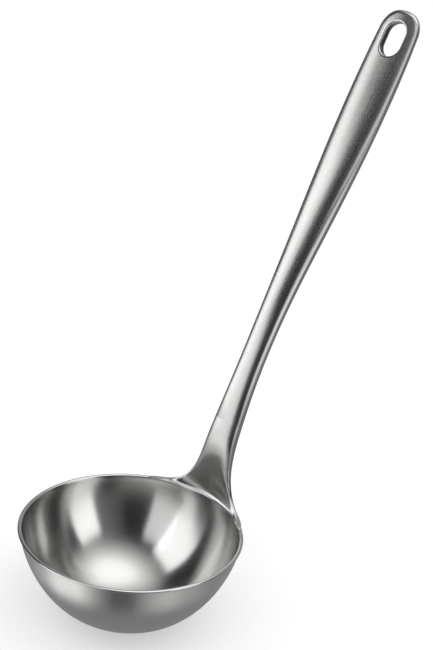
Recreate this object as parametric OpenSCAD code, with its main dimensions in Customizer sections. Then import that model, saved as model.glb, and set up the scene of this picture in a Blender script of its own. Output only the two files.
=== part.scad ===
// Soup ladle: a deep drawn bowl, a forged neck and a hollow welded handle, in satin stainless steel.
// Millimetres, +Z up. The bowl's rim lies level and the handle leans towards +X.
// The origin is the middle of the hanging eye. The profile is worked out with the bowl's axis
// at x = 0 and the rim at z = 0, and every piece is then shifted by the same step.

/* [Bowl] */
// Radius over the lip of the bowl
rim_r = 46; // [40:0.5:60]
// How far the lip stands out from the wall
lip_out = 0.7; // [0.3:0.1:1.2]
// Height of the lip
lip_h = 1.0; // [0.6:0.1:2]
// Depth of the bowl, outside, below the rim
bowl_depth = 39.4; // [30:0.1:55]
// Sheet thickness of the bowl
bowl_wall = 0.9; // [0.6:0.1:1.5]
// Roundness of the bowl's profile, along the depth
bowl_p = 1.45; // [1.2:0.05:2.2]
// Roundness of the bowl's profile, along the radius
bowl_q = 2.65; // [1.8:0.05:3.2]

/* [Neck] */
// Distance from the rim's edge to the middle of the neck, at the rim's height
neck_out = 1.1; // [0.8:0.1:2.4]
// Width of the neck without its flare
neck_w = 18.8; // [14:0.2:22]
// Thickness of the neck at the rim
neck_t = 2.8; // [2.4:0.1:4]
// Height over which the neck thickens
rise_l = 30; // [20:1:45]
// Reach of the flare along the rim, on each side
flare_l = 21.2; // [14:0.2:26]
// Height of the flare
flare_h = 30; // [22:0.5:33]
// Hollowness of the flare's curve, where 2 is a quarter of an ellipse
flare_p = 3.4; // [2:0.1:4]
// Squareness of the neck's section at the rim, where 2 is an ellipse
flare_n = 3.4; // [2:0.1:4.5]
// How far the flare's ends tuck in towards the bowl
tuck = 2.5; // [1:0.1:3.5]
// Height of the small fillet between the rim and the front of the neck
ledge_h = 4.5; // [2:0.1:6]
// How far the neck's root runs down the outside of the bowl
root_h = 12; // [8:0.5:16]
// Height above the rim, along the neck, at which the hollow handle starts
joint_s = 34; // [34:1:45]
// Length of the tang inside the hollow handle
tang_l = 30; // [15:1:45]
// Clearance between the tang and the handle's walls
tang_gap = 0.15; // [0.1:0.05:0.4]

/* [Handle] */
// Lean of the neck at the rim, from the horizontal
lean_rim = 91.9; // [80:0.1:96]
// Lean at the end of the neck's bend
lean_neck = 68.8; // [64:0.1:74]
// Lean at the middle of the handle
lean_mid = 60.6; // [54:0.1:64]
// Lean at the tip
lean_tip = 62.5; // [56:0.1:66]
// Length of the neck's bend
neck_l = 30; // [24:1:36]
// Length of the lower handle
lower_l = 73.2; // [60:0.2:90]
// Length of the upper handle
upper_l = 115.8; // [95:0.2:140]
// Width at the narrowest place
waist_w = 12; // [10:0.1:15]
// Distance of the narrowest place from the rim, along the handle
waist_s = 65; // [55:1:75]
// Thickness at the narrowest place
waist_t = 5; // [4:0.1:6.5]
// Greatest width of the handle
grip_w = 21.3; // [18:0.1:26]
// Distance of the widest place from the rim, along the handle
grip_s = 182; // [160:1:190]
// Greatest thickness of the handle
grip_t = 6.2; // [5:0.1:9]
// Distance of the thickest place from the rim, along the handle
thick_s = 130; // [110:1:150]
// Width at the tip, before its round end
tip_w = 18.4; // [15:0.1:20]
// Thickness at the tip
tip_t = 3.9; // [3.8:0.1:6]
// Share of the thickness that lies in front of the widest line
crown = 0.6; // [0.5:0.02:0.62]
// Length of the round end of the tip
tip_r = 9.4; // [7:0.2:10]
// Roundness of the handle's section, where 2 is an ellipse
section_n = 2.3; // [2:0.1:3]
// Roundness of the tip's outline, where 2 is an ellipse
tip_n = 2.3; // [2:0.1:3]
// Wall of the hollow handle
shell_wall = 0.9; // [0.7:0.1:1.0]

/* [Hanging eye] */
// Length of the eye
eye_l = 15; // [12:0.1:20]
// Width of the eye
eye_w = 9.9; // [8:0.1:11]
// Metal between the eye and the tip
eye_end = 5.4; // [4:0.1:7]
// Wall of the sleeve that lines the eye
sleeve_wall = 1.0; // [0.8:0.1:1.2]
// Rounding of the eye's mouths
eye_round = 0.7; // [0.3:0.1:0.7]

/* [Welds] */
// Width of the welded seam between the two halves of the handle
seam_w = 0.6; // [0.4:0.1:1]
// Height of the weld between the neck and the hollow handle
ring_h = 0.8; // [0.5:0.1:1.5]
// Thickness of the weld between the bowl and the neck
root_weld = 0.3; // [0.2:0.05:0.6]
// Width of the welds around the eye's sleeve
eye_weld_w = 0.5; // [0.3:0.1:0.7]

/* [Hidden] */
steel = "#b9b9b7";
weld_steel = "#a5a5a3";
handle_l = neck_l + lower_l + upper_l;
wall_r = rim_r - lip_out;
neck_x = rim_r + neck_out;
root_e = neck_x + neck_t / 2 - wall_r;
half_seam = seam_w / 2;
round_fn = 96;
profile_n = 22;
half_steps = 9;
handle_steps = 30;
tip_steps = 6;
flare_steps = 12;
neck_steps = 3;
root_steps = 5;
eye_steps = 72;
reach = 60;
tang_steps = 4;
foot_s = 0.3;
edge_flat = 0.05;
rise_min = 0.05;
tilt_l = 1.5 * joint_s;
round_l = 2 * joint_s;
column_h = 1.1 * ledge_h;
lip_gap = 0.2;

// Point of the centre line: an arc of given length that turns from one lean to another
function arc_dx(l, a, b) = a == b ? l * cos(a) : l / ((b - a) * PI / 180) * (sin(b) - sin(a));
function arc_dz(l, a, b) = a == b ? l * sin(a) : l / ((b - a) * PI / 180) * (cos(a) - cos(b));
function part_way(l, s, a, b) = a + (b - a) * s / l;
mid_x = neck_x + arc_dx(neck_l, lean_rim, lean_neck);
mid_z = arc_dz(neck_l, lean_rim, lean_neck);
high_x = mid_x + arc_dx(lower_l, lean_neck, lean_mid);
high_z = mid_z + arc_dz(lower_l, lean_neck, lean_mid);

// Lean of the centre line at length s above the rim
function lean(s) =
    s <= neck_l ? part_way(neck_l, max(s, 0), lean_rim, lean_neck)
    : s <= neck_l + lower_l ? part_way(lower_l, s - neck_l, lean_neck, lean_mid)
    : part_way(upper_l, s - neck_l - lower_l, lean_mid, lean_tip);

// Centre line of the neck and handle, and below the rim that of the root, which follows the wall
function spine(s) =
    s < 0 ? [outer_r(-s) + blend(root_e, -root_weld / 2, ease(-s / root_h)) - neck_t / 2, s]
    : s <= neck_l ? [neck_x + arc_dx(s, lean_rim, lean(s)), arc_dz(s, lean_rim, lean(s))]
    : s <= neck_l + lower_l ? [mid_x + arc_dx(s - neck_l, lean_neck, lean(s)),
                               mid_z + arc_dz(s - neck_l, lean_neck, lean(s))]
    : [high_x + arc_dx(s - neck_l - lower_l, lean_mid, lean(s)),
       high_z + arc_dz(s - neck_l - lower_l, lean_mid, lean(s))];

// Gentle step from 0 to 1
function ease(u) = 0.5 - 0.5 * cos(180 * min(max(u, 0), 1));
function blend(a, b, u) = a + (b - a) * u;

// Half width of the handle before its round end and its flare
function half_w(s) =
    s <= waist_s ? blend(neck_w, waist_w, sin(90 * max(s, 0) / waist_s)) / 2
    : s <= grip_s ? blend(waist_w, grip_w, ease((s - waist_s) / (grip_s - waist_s))) / 2
    : blend(grip_w, tip_w, pow((s - grip_s) / (handle_l - grip_s), 2)) / 2;
function flare(s) =
    s >= flare_h ? 0
    : s >= 0 ? flare_l * (1 - pow(1 - pow(1 - s / flare_h, flare_p), 1 / flare_p))
    : flare_l;
function root_close(s) = s >= 0 ? 1 : sqrt(1 - pow(s / root_h, 2));
function tip_close(s, inset) =
    s <= handle_l - tip_r ? 1
    : pow(max(0, 1 - pow((s - handle_l + tip_r) / (tip_r - inset), tip_n)), 1 / tip_n);
function side(s, inset = 0) = ((half_w(s) + flare(s)) * root_close(s) - inset) * tip_close(s, inset);

// Half thickness of the handle
function half_t(s) =
    s <= waist_s ? blend(neck_t, waist_t, ease(s / rise_l)) / 2
    : s <= thick_s ? blend(waist_t, grip_t, ease((s - waist_s) / (thick_s - waist_s))) / 2
    : blend(grip_t, tip_t, ease((s - thick_s) / (handle_l - thick_s))) / 2;
function end_close(s, inset) =
    let (r = half_t(handle_l) - inset, d = (s - (handle_l - inset - r)) / r)
    d <= 0 ? 1 : sqrt(max(0, 1 - d * d));
function seam(s) = max(edge_flat, half_seam * (1 - bend(s)));
function share(s, face) = blend(0.5, face < 0 ? crown : 1 - crown, ease(s / joint_s));
function rise(s, face, inset = 0) =
    max(rise_min, 2 * half_t(s) * share(s, face) - inset - seam(s)) * end_close(s, inset);
function ledge(s) =
    s >= ledge_h || s < 0 ? 0
    : (neck_out - neck_t / 2 + lip_out + bowl_wall) * (1 - sqrt(1 - pow(1 - s / ledge_h, 2)));

// Bend of the neck's layers about the bowl's axis: 1 at the rim, 0 from the joint on
function bend(s) = 1 - ease(s / joint_s);
function tilt(s) = blend(90, lean(s), ease(s / tilt_l));
function roundness(s) = blend(flare_n, section_n, ease(s / round_l));

// One point of a section: across the handle by w, through it by v, towards the back
function place(s, w, v) =
    let (p = spine(s), t = tilt(s), x = p[0] + v * sin(t), z = p[1] - v * cos(t), k = bend(s))
    k < 0.001 ? [x, w, z]
    : let (r = p[0] / k, a = w / r * 180 / PI, inward = k * tuck * pow(w / (neck_w / 2 + flare_l), 2))
      [x - r * (1 - cos(a)) - inward, r * sin(a), z];

// Across and through, one after the other, for a section's outline at angle a
function across(s, a, inset) = side(s, inset) * sign(cos(a)) * pow(abs(cos(a)), 2 / roundness(s));
function through(s, a, depth) = seam(s) + depth * pow(sin(a), 2 / roundness(s));
angles = [for (i = [0:2 * half_steps]) 90 * i / half_steps];

// Half of a section, from the +Y edge to the -Y edge, on the front (-1) or the back (1)
function half_ring(s, inset, face) =
    [for (a = angles) place(s, across(s, a, inset), face * through(s, a, rise(s, face, inset)))];

// A whole section, with the fillet that widens the front of the neck at the rim
function ring(s, inset = 0) =
    concat([for (a = angles) place(s, across(s, a, inset), through(s, a, rise(s, 1, inset)))],
           [for (i = [2 * half_steps:-1:0])
               place(s, across(s, angles[i], inset), -through(s, angles[i], rise(s, -1, inset) + ledge(s)))]);

// Stations along the hollow handle, closer together round the tip
function stations(from, inset) =
    concat([for (i = [0:handle_steps]) from + (handle_l - tip_r - from) * i / handle_steps],
           [for (i = [1:tip_steps - 1])
               handle_l - tip_r + (tip_r - inset) * sin(90 * i / tip_steps)]);
function tip_point(inset, v) = place(handle_l - inset, 0, v);

// A closed solid through a list of rings with as many points each, with flat ends or a tip point
module loft(rings, tip = undef) {
    n = len(rings[0]);
    m = len(rings);
    pts = concat([for (r = rings) each r], is_undef(tip) ? [] : [tip]);
    sides = [for (i = [0:m - 2], j = [0:n - 1])
        let (a = i * n + j, b = i * n + (j + 1) % n)
        each [[a, b, b + n], [a, b + n, a + n]]];
    top = is_undef(tip)
        ? [[for (j = [0:n - 1]) (m - 1) * n + j]]
        : [for (j = [0:n - 1]) [(m - 1) * n + j, (m - 1) * n + (j + 1) % n, m * n]];
    polyhedron(pts, concat([[for (j = [n - 1:-1:0]) j]], sides, top), convexity = 6);
}

// A closed solid through rings whose last meets the first, such as a collar
module closed_loft(rings) {
    n = len(rings[0]);
    m = len(rings);
    faces = [for (i = [0:m - 1], j = [0:n - 1])
        let (a = i * n + j, b = i * n + (j + 1) % n, k = (i + 1) % m, c = k * n + j, d = k * n + (j + 1) % n)
        each [[a, b, d], [a, d, c]]];
    polyhedron([for (r = rings) each r], faces, convexity = 6);
}

// One half of the hollow handle, with its wall: front (-1) or back (1)
module half_shell(face) {
    out = [for (s = stations(joint_s, 0)) half_ring(s, 0, face)];
    inn = [for (s = stations(joint_s, shell_wall)) half_ring(s, shell_wall, face)];
    m = len(out);
    n = len(out[0]);
    tip_o = m * n;
    base = tip_o + 1;
    tip_i = base + m * n;
    pts = concat([for (r = out) each r], [tip_point(0, face * half_seam)],
                 [for (r = inn) each r], [tip_point(shell_wall, face * half_seam)]);
    skin = [for (i = [0:m - 2], j = [0:n - 2])
        let (a = i * n + j)
        each [[a, a + 1, a + n + 1], [a, a + n + 1, a + n]]];
    skin_tip = [for (j = [0:n - 2]) [(m - 1) * n + j, (m - 1) * n + j + 1, tip_o]];
    lining = [for (f = concat(skin, skin_tip))
        [for (k = [2:-1:0]) f[k] == tip_o ? tip_i : f[k] + base]];
    edge = [for (i = [0:m - 2], j = [0, n - 1])
        let (a = i * n + j, q = [[a, a + n, a + n + base], [a, a + n + base, a + base]])
        each (j == 0 ? q : [for (f = q) [f[2], f[1], f[0]]])];
    edge_tip = [for (j = [0, n - 1])
        let (a = (m - 1) * n + j, q = [[a, tip_o, tip_i], [a, tip_i, a + base]])
        each (j == 0 ? q : [for (f = q) [f[2], f[1], f[0]]])];
    mouth = [for (j = [0:n - 2]) each [[j + 1, j, j + base], [j + 1, j + base, j + 1 + base]]];
    all_faces = concat(skin, skin_tip, lining, edge, edge_tip, mouth);
    polyhedron(pts, face > 0 ? all_faces : [for (f = all_faces) [f[2], f[1], f[0]]], convexity = 8);
}

// Shift from the bowl's axis and rim to the middle of the eye
eye_s = handle_l - eye_end - eye_l / 2;
eye_at = place(eye_s, 0, 0);
module to_eye() {
    translate(-eye_at) children();
}

module slot(l, w) {
    for (d = [-1, 1]) translate([d * (l - w) / 2, 0]) circle(d = w, $fn = round_fn);
    square([l - w, w], center = true);
}

// Straight oblong bar through the handle at the eye, larger than the eye by grow on every side
module eye_bar(grow) {
    translate(eye_at)
        rotate([0, 180 - lean(eye_s), 0])
            linear_extrude(height = reach, center = true)
                slot(eye_l + 2 * grow, eye_w + 2 * grow);
}

// Point of the sleeve, at angle a round the eye, g outside its outline and d below the handle's face
function sleeve_point(a, g, d, face) =
    let (u = (eye_l - eye_w) / 2 * sign(cos(a)) + (eye_w / 2 + g) * cos(a),
         w = (eye_w / 2 + g) * sin(a),
         s = eye_s + u,
         v = face * (half_seam - d + rise(s, face) * pow(1 - pow(abs(w) / side(s), section_n), 1 / section_n)),
         t = lean(eye_s))
    eye_at + [u * cos(t) + v * sin(t), w, u * sin(t) - v * cos(t)];

// Section of the sleeve's wall at angle a, with a rounded edge at each mouth
function sleeve_ring(a) =
    concat([for (b = [0:30:90]) sleeve_point(a, eye_round * (1 - cos(b)), eye_round * (1 - sin(b)), -1)],
           [for (face = [-1, 1]) sleeve_point(a, sleeve_wall, 0, face)],
           [for (b = [90:-30:0]) sleeve_point(a, eye_round * (1 - cos(b)), eye_round * (1 - sin(b)), 1)]);

// Outer profile of the bowl's wall at depth z below the rim
function outer_r(z) = wall_r * pow(max(0, 1 - pow(z / bowl_depth, bowl_p)), 1 / bowl_q);
function wall_curve(r, d, n) =
    [for (i = [1:n]) let (z = d * sin(90 * i / n))
        [i == n ? 0 : r * pow(1 - pow(z / d, bowl_p), 1 / bowl_q), -z]];

// Lip: flat on top, rounded outside, undercut where it meets the wall
function lip_curve(grow) =
    let (r = lip_h / 2)
    concat([for (i = [0:4]) [rim_r - r + r * sin(22.5 * i) + grow, -r + r * cos(22.5 * i)]],
           [[rim_r + grow, -lip_h * 0.6], [wall_r + grow, -lip_h - lip_out / 2]]);

// Outside of the bowl from the lip to the bottom, moved outwards by grow
function outside_curve(grow) =
    concat(lip_curve(grow),
           [for (p = wall_curve(wall_r, bowl_depth, profile_n))
               if (p[1] < -lip_h - lip_out / 2 - lip_gap) [p[0] + (p[0] > 0 ? grow : 0), p[1] - grow]]);

// The bowl as if it were full, with a column of the rim's inner radius on top
module full_bowl(grow, column) {
    rotate_extrude($fn = round_fn)
        polygon(concat([[0, column], [wall_r - bowl_wall, column], [wall_r - bowl_wall, 0]],
                       outside_curve(grow)));
}

// Thin skin on the outside of the bowl, as thick as the weld
module weld_skin() {
    outer = [for (p = outside_curve(root_weld)) if (p[1] > -root_h * 1.5) p];
    inner = [for (p = outside_curve(0)) if (p[1] > -root_h * 1.5) p];
    rotate_extrude($fn = round_fn)
        polygon(concat(outer, [for (i = [len(inner) - 1:-1:0]) inner[i]]));
}

module bowl_inside() {
    rotate_extrude($fn = round_fn)
        polygon(concat([[0, 1], [wall_r - bowl_wall, 1], [wall_r - bowl_wall, 0]],
                       wall_curve(wall_r - bowl_wall, bowl_depth - bowl_wall, profile_n)));
}

// The neck before the bowl is taken out of it: root, flare, shank and tang
module neck_form() {
    top_s = joint_s - ring_h;
    inset = shell_wall + tang_gap;
    rings = concat(
        [for (i = [1:root_steps]) ring(-root_h * (1 - pow(i / (root_steps + 1), 2)))],
        [for (i = [0:flare_steps - 1]) ring(foot_s + (flare_h - foot_s) * pow(i / flare_steps, 2))],
        [for (i = [0:neck_steps]) ring(flare_h + (top_s - flare_h) * i / neck_steps)],
        [for (i = [0:tang_steps]) ring(top_s + (tang_l + ring_h) * i / tang_steps, inset)]);
    loft(rings);
}

module bowl() {
    color(steel)
        to_eye()
            difference() {
                full_bowl(0, 0);
                bowl_inside();
            }
}

module bowl_weld() {
    color(weld_steel)
        to_eye()
            intersection() {
                neck_form();
                weld_skin();
            }
}

module neck() {
    color(steel)
        to_eye()
            difference() {
                neck_form();
                full_bowl(root_weld, column_h);
            }
}

module neck_weld() {
    inset = shell_wall + tang_gap;
    color(weld_steel)
        to_eye()
            closed_loft([ring(joint_s - ring_h), ring(joint_s), ring(joint_s, inset),
                         ring(joint_s - ring_h, inset)]);
}

module handle_front() {
    color(steel)
        to_eye()
            difference() {
                half_shell(-1);
                eye_bar(sleeve_wall + eye_weld_w);
            }
}

module handle_back() {
    color(steel)
        to_eye()
            difference() {
                half_shell(1);
                eye_bar(sleeve_wall + eye_weld_w);
            }
}

// A flat bead that runs up one side of the handle, round the tip and down the other side
module seam_weld() {
    up = [for (w = [1, -1])
        let (out = stations(joint_s, 0), inn = stations(joint_s, shell_wall))
        [for (i = [0:len(out) - 1])
            [place(out[i], w * side(out[i]), -half_seam), place(out[i], w * side(out[i]), half_seam),
             place(inn[i], w * side(inn[i], shell_wall), half_seam),
             place(inn[i], w * side(inn[i], shell_wall), -half_seam)]]];
    over = [tip_point(0, -half_seam), tip_point(0, half_seam),
            tip_point(shell_wall, half_seam), tip_point(shell_wall, -half_seam)];
    last = len(up[1]) - 1;
    color(weld_steel)
        to_eye()
            loft(concat(up[0], [over], [for (i = [last:-1:0]) up[1][i]]));
}

module eye_sleeve() {
    color(steel)
        to_eye()
            closed_loft([for (i = [0:eye_steps - 1]) sleeve_ring(-360 * i / eye_steps)]);
}

module eye_welds() {
    color(weld_steel)
        to_eye()
            for (face = [-1, 1])
                difference() {
                    intersection() {
                        half_shell(face);
                        eye_bar(sleeve_wall + eye_weld_w);
                    }
                    eye_bar(sleeve_wall);
                }
}

bowl();
bowl_weld();
neck();
neck_weld();
handle_front();
handle_back();
seam_weld();
eye_sleeve();
eye_welds();
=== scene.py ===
"""Dresses the soup ladle: a spun bowl, a forged neck and a hollow welded handle in satin steel.

Every length in the form classes is in millimetres, with the bowl's axis at x = 0 and its rim at
z = 0. Meshes are written in metres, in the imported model's frame, whose origin is the hanging eye.
"""

import logging
from dataclasses import dataclass, field
from enum import Enum
from math import atan2, copysign, cos, degrees, hypot, pi, radians, sin, sqrt, tan
from typing import Iterable, Sequence

import bmesh
import bpy
from bpy.types import ID, Material, Mesh, Node, NodeSocket, NodeTree, Object, World
from mathutils import Matrix, Vector


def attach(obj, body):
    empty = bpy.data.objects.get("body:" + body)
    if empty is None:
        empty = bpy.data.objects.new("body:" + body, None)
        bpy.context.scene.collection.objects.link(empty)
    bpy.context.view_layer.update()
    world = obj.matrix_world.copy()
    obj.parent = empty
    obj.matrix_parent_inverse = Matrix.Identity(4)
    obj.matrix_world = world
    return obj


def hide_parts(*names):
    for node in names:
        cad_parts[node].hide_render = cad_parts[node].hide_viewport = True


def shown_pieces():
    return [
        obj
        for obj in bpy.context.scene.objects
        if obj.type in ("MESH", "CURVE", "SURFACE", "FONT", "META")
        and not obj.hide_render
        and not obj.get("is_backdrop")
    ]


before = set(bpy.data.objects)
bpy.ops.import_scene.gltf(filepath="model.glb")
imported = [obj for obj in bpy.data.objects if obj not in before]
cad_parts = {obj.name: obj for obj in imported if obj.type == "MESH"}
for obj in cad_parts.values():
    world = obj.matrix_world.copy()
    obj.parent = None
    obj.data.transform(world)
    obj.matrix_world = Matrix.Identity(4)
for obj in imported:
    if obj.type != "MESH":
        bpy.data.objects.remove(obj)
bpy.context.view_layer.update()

MM = 0.001
BODY = "root"
GRAIN = "grain"
WEAR_AND_SHADE = "wear_and_shade"
UV_NAME = "lay"
WHITE = (1.0, 1.0, 1.0, 1.0)
TURNS = range(-180, 181, 5)
GRAIN_W = 9.0
GRAIN_T = 3.0
LOG = logging.getLogger("ladle")


class Side(Enum):
    """The two faces of the handle: the one over the bowl, and the one behind it."""

    FRONT = -1
    BACK = 1


class Lay(Enum):
    """The way that a finish was brushed, by the axis of the grain attribute it runs along."""

    ALONG = "along the handle"
    ROUND = "round the bowl"


def ease(u: float) -> float:
    """Gentle step from 0 to 1."""
    return 0.5 - 0.5 * cos(pi * min(max(u, 0.0), 1.0))


def blend(a: float, b: float, u: float) -> float:
    """Value a share u of the way from a to b."""
    return a + (b - a) * u


def share(value: float, low: float, high: float) -> float:
    """How far a value lies on the way from low to high."""
    return (value - low) / (high - low)


def spread(low: float, high: float, count: int) -> list[float]:
    """Even steps from low to high, both ends included."""
    return [low + (high - low) * i / (count - 1) for i in range(count)]


def between(stops: Sequence[tuple[float, float]], place: float) -> float:
    """Value at a place between stops of place and value."""
    return next(blend(low, high, share(place, a, b))
                for (a, low), (b, high) in zip(stops, stops[1:]) if a <= place <= b)


def show(name: str, data: ID) -> Object:
    """Puts a new object with that data into the scene."""
    made = bpy.data.objects.new(name, data)
    bpy.context.scene.collection.objects.link(made)
    return made


def lay(data: Mesh, grain: Sequence[Sequence[float]], turn: Sequence[Sequence[float]],
        wear_and_shade: Sequence[float] = ()) -> None:
    """Writes where each point lies in the brushing.

    Args:
        data: The mesh.
        grain: Each point's place in the brushing's own axes, in millimetres.
        turn: Each point's place across and along the brushing, for the highlight's direction.
        wear_and_shade: How worn each point is: 1 for the most, -1 for painted shade that darkens the colour.
    """
    marks = [(GRAIN, "FLOAT_VECTOR", "vector", [c for place in grain for c in place])]
    marks += [(WEAR_AND_SHADE, "FLOAT", "value", wear_and_shade)] if wear_and_shade else []
    for name, kind, key, values in marks:
        layer = data.attributes.get(name) or data.attributes.new(name, kind, "POINT")
        layer.data.foreach_set(key, values)
    layer = data.uv_layers.get(UV_NAME) or data.uv_layers.new(name=UV_NAME)
    layer.data.foreach_set("uv", [c for loop in data.loops for c in turn[loop.vertex_index]])


@dataclass(frozen=True)
class BowlForm:
    """Sizes of the bowl, and its profile."""

    rim_r: float = 46.0
    lip_out: float = 0.7
    lip_h: float = 1.0
    lip_under: float = 0.6
    under_gap: float = 0.25
    crown_gap: float = 0.2
    depth: float = 39.4
    wall: float = 0.9
    along_depth: float = 1.45
    along_radius: float = 2.65
    crown_e: float = 1.15
    wall_steps: int = 72
    under_steps: int = 5
    crown_steps: int = 25

    @property
    def wall_r(self) -> float:
        """Outer radius of the wall at the rim."""
        return self.rim_r - self.lip_out

    @property
    def mouth_r(self) -> float:
        """Inner radius of the wall at the rim."""
        return self.wall_r - self.wall

    @property
    def lip_end(self) -> float:
        """Depth at which the lip runs out into the wall."""
        return self.lip_h + self.lip_out / 2

    def wall_at(self, radius: float, pole: float, depth: float) -> float:
        """Radius, at a depth, of a wall with this radius at the rim and its pole at this depth."""
        return radius * max(0.0, 1.0 - (depth / pole) ** self.along_depth) ** (1.0 / self.along_radius)

    def outer_r(self, depth: float) -> float:
        """Outer radius of the wall at a depth below the rim."""
        return self.wall_at(self.wall_r, self.depth, depth)

    def skin_r(self, depth: float) -> float:
        """Outer radius at a depth below the rim, with the lip."""
        half, under, lip_end = self.lip_h / 2, self.lip_h * self.lip_under, self.lip_end
        if depth >= lip_end:
            return self.outer_r(depth)
        if depth < half:
            return self.rim_r - half + sqrt(max(0.0, half**2 - (half - depth) ** 2))
        if depth < under:
            return self.rim_r
        return blend(self.rim_r, self.wall_r, share(depth, under, lip_end))

    def wall_curve(self, radius: float, depth: float, start: float) -> list[tuple[float, float]]:
        """Points of a wall from a depth below the rim to the pole.

        Args:
            radius: Radius of the wall at the rim.
            depth: Depth of the wall's pole.
            start: Depth at which the points begin.

        Returns:
            Pairs of radius and height.
        """
        turns = spread(0.0, pi / 2, self.wall_steps + 1)
        return [(self.wall_at(radius, depth, z), -z) for z in (blend(start, depth, sin(a)) for a in turns)]

    def profile(self) -> list[tuple[float, float]]:
        """The whole section, from the pole outside, over the lip, to the pole inside."""
        outside = self.wall_curve(self.wall_r, self.depth, self.lip_end + self.under_gap)[::-1]
        slope = self.lip_end - self.lip_h * self.lip_under
        under = [(self.wall_r + self.lip_out * u * u, slope * u - self.lip_end)
                 for u in spread(0.0, 1.0, self.under_steps)]
        half, middle, drop = (self.rim_r - self.mouth_r) / 2, (self.rim_r + self.mouth_r) / 2, self.lip_h / 2
        crown = [(middle + half * copysign(abs(cos(a)) ** self.crown_e, cos(a)),
                  -drop + drop * max(0.0, sin(a)) ** self.crown_e)
                 for a in spread(0.0, pi, self.crown_steps)]
        inside = self.wall_curve(self.mouth_r, self.depth - self.wall, drop + self.crown_gap)
        return outside + under + crown + inside


@dataclass(frozen=True)
class HandleForm:
    """Sizes of the neck and the handle, and the surface that they share."""

    bowl: BowlForm = field(default_factory=BowlForm)
    neck_out: float = 1.1
    neck_w: float = 18.8
    neck_t: float = 2.8
    rise_l: float = 30.0
    flare_l: float = 21.2
    flare_h: float = 30.0
    flare_p: float = 3.4
    flare_n: float = 3.4
    tuck: float = 2.5
    ledge_h: float = 4.5
    root_h: float = 12.0
    root_weld: float = 0.3
    joint_s: float = 34.0
    lean_rim: float = 91.9
    lean_neck: float = 68.8
    lean_mid: float = 60.6
    lean_tip: float = 62.5
    neck_l: float = 30.0
    lower_l: float = 73.2
    upper_l: float = 115.8
    waist_w: float = 12.0
    waist_s: float = 65.0
    waist_t: float = 5.0
    grip_w: float = 21.3
    grip_s: float = 182.0
    grip_t: float = 6.2
    thick_s: float = 130.0
    tip_w: float = 18.4
    tip_t: float = 3.9
    crown: float = 0.6
    tip_r: float = 9.4
    section_n: float = 2.3
    tip_n: float = 2.3
    shell_wall: float = 0.9
    seam_w: float = 0.6
    eye_l: float = 15.0
    eye_w: float = 9.9
    eye_end: float = 5.4
    edge_flat: float = 0.05
    rise_min: float = 0.05

    @property
    def length(self) -> float:
        """Length along the centre line, from the rim to the tip."""
        return self.neck_l + self.lower_l + self.upper_l

    @property
    def neck_x(self) -> float:
        """Distance of the neck's middle from the bowl's axis, at the rim."""
        return self.bowl.rim_r + self.neck_out

    @property
    def eye_s(self) -> float:
        """Place of the eye's middle along the centre line."""
        return self.length - self.eye_end - self.eye_l / 2

    @property
    def origin(self) -> Vector:
        """Middle of the eye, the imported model's origin."""
        return self.place(self.eye_s, 0.0, 0.0)

    @property
    def runs(self) -> tuple[tuple[float, float, float], ...]:
        """Length of each run of the centre line, with the leans at its ends."""
        return ((self.neck_l, self.lean_rim, self.lean_neck), (self.lower_l, self.lean_neck, self.lean_mid),
                (self.upper_l, self.lean_mid, self.lean_tip))

    @staticmethod
    def arc(length: float, a: float, b: float) -> tuple[float, float]:
        """Steps in x and z of an arc that turns from lean a to lean b, in degrees."""
        turn = radians(b - a)
        if abs(turn) < 1e-9:
            return length * cos(radians(a)), length * sin(radians(a))
        a, b = radians(a), radians(b)
        return length / turn * (sin(b) - sin(a)), length / turn * (cos(a) - cos(b))

    def lean(self, s: float) -> float:
        """Lean of the centre line from the horizontal, in degrees."""
        s = max(s, 0.0)
        for length, a, b in self.runs[:-1]:
            if s <= length:
                return blend(a, b, s / length)
            s -= length
        length, a, b = self.runs[-1]
        return blend(a, b, s / length)

    def spine(self, s: float) -> tuple[float, float]:
        """Point of the centre line, and below the rim of the root's, which follows the wall."""
        if s < 0:
            root_e = self.neck_x + self.neck_t / 2 - self.bowl.wall_r
            out = blend(root_e, -self.root_weld / 2, ease(-s / self.root_h))
            return self.bowl.outer_r(-s) + out - self.neck_t / 2, s
        x, z, start = self.neck_x, 0.0, 0.0
        for length, a, b in self.runs:
            end = s if b == self.lean_tip else min(s, start + length)
            dx, dz = self.arc(end - start, a, self.lean(end))
            x, z, start = x + dx, z + dz, end
        return x, z

    def half_w(self, s: float) -> float:
        """Half width before the round end and the flare."""
        if s <= self.waist_s:
            return blend(self.neck_w, self.waist_w, sin(pi / 2 * max(s, 0.0) / self.waist_s)) / 2
        if s <= self.grip_s:
            return blend(self.waist_w, self.grip_w, ease(share(s, self.waist_s, self.grip_s))) / 2
        return blend(self.grip_w, self.tip_w, share(s, self.grip_s, self.length) ** 2) / 2

    def flare(self, s: float) -> float:
        """Reach of the flare on each side."""
        if s >= self.flare_h:
            return 0.0
        u = 1.0 - max(s, 0.0) / self.flare_h
        return self.flare_l * (1.0 - max(0.0, 1.0 - u**self.flare_p) ** (1.0 / self.flare_p))

    def side(self, s: float, inset: float = 0.0) -> float:
        """Half width with the flare, the round tip and the root's taper."""
        root = 1.0 if s >= 0 else sqrt(max(0.0, 1.0 - (s / self.root_h) ** 2))
        start = self.length - self.tip_r
        tip = 1.0
        if s > start:
            u = (s - start) / (self.tip_r - inset)
            tip = max(0.0, 1.0 - u**self.tip_n) ** (1.0 / self.tip_n)
        return ((self.half_w(s) + self.flare(s)) * root - inset) * tip

    def half_t(self, s: float) -> float:
        """Half thickness."""
        if s <= self.waist_s:
            return blend(self.neck_t, self.waist_t, ease(s / self.rise_l)) / 2
        if s <= self.thick_s:
            return blend(self.waist_t, self.grip_t, ease(share(s, self.waist_s, self.thick_s))) / 2
        return blend(self.grip_t, self.tip_t, ease(share(s, self.thick_s, self.length))) / 2

    def bend(self, s: float) -> float:
        """How far the section is bent round the bowl: 1 at the rim, 0 from the joint on."""
        return 1.0 - ease(s / self.joint_s)

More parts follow.
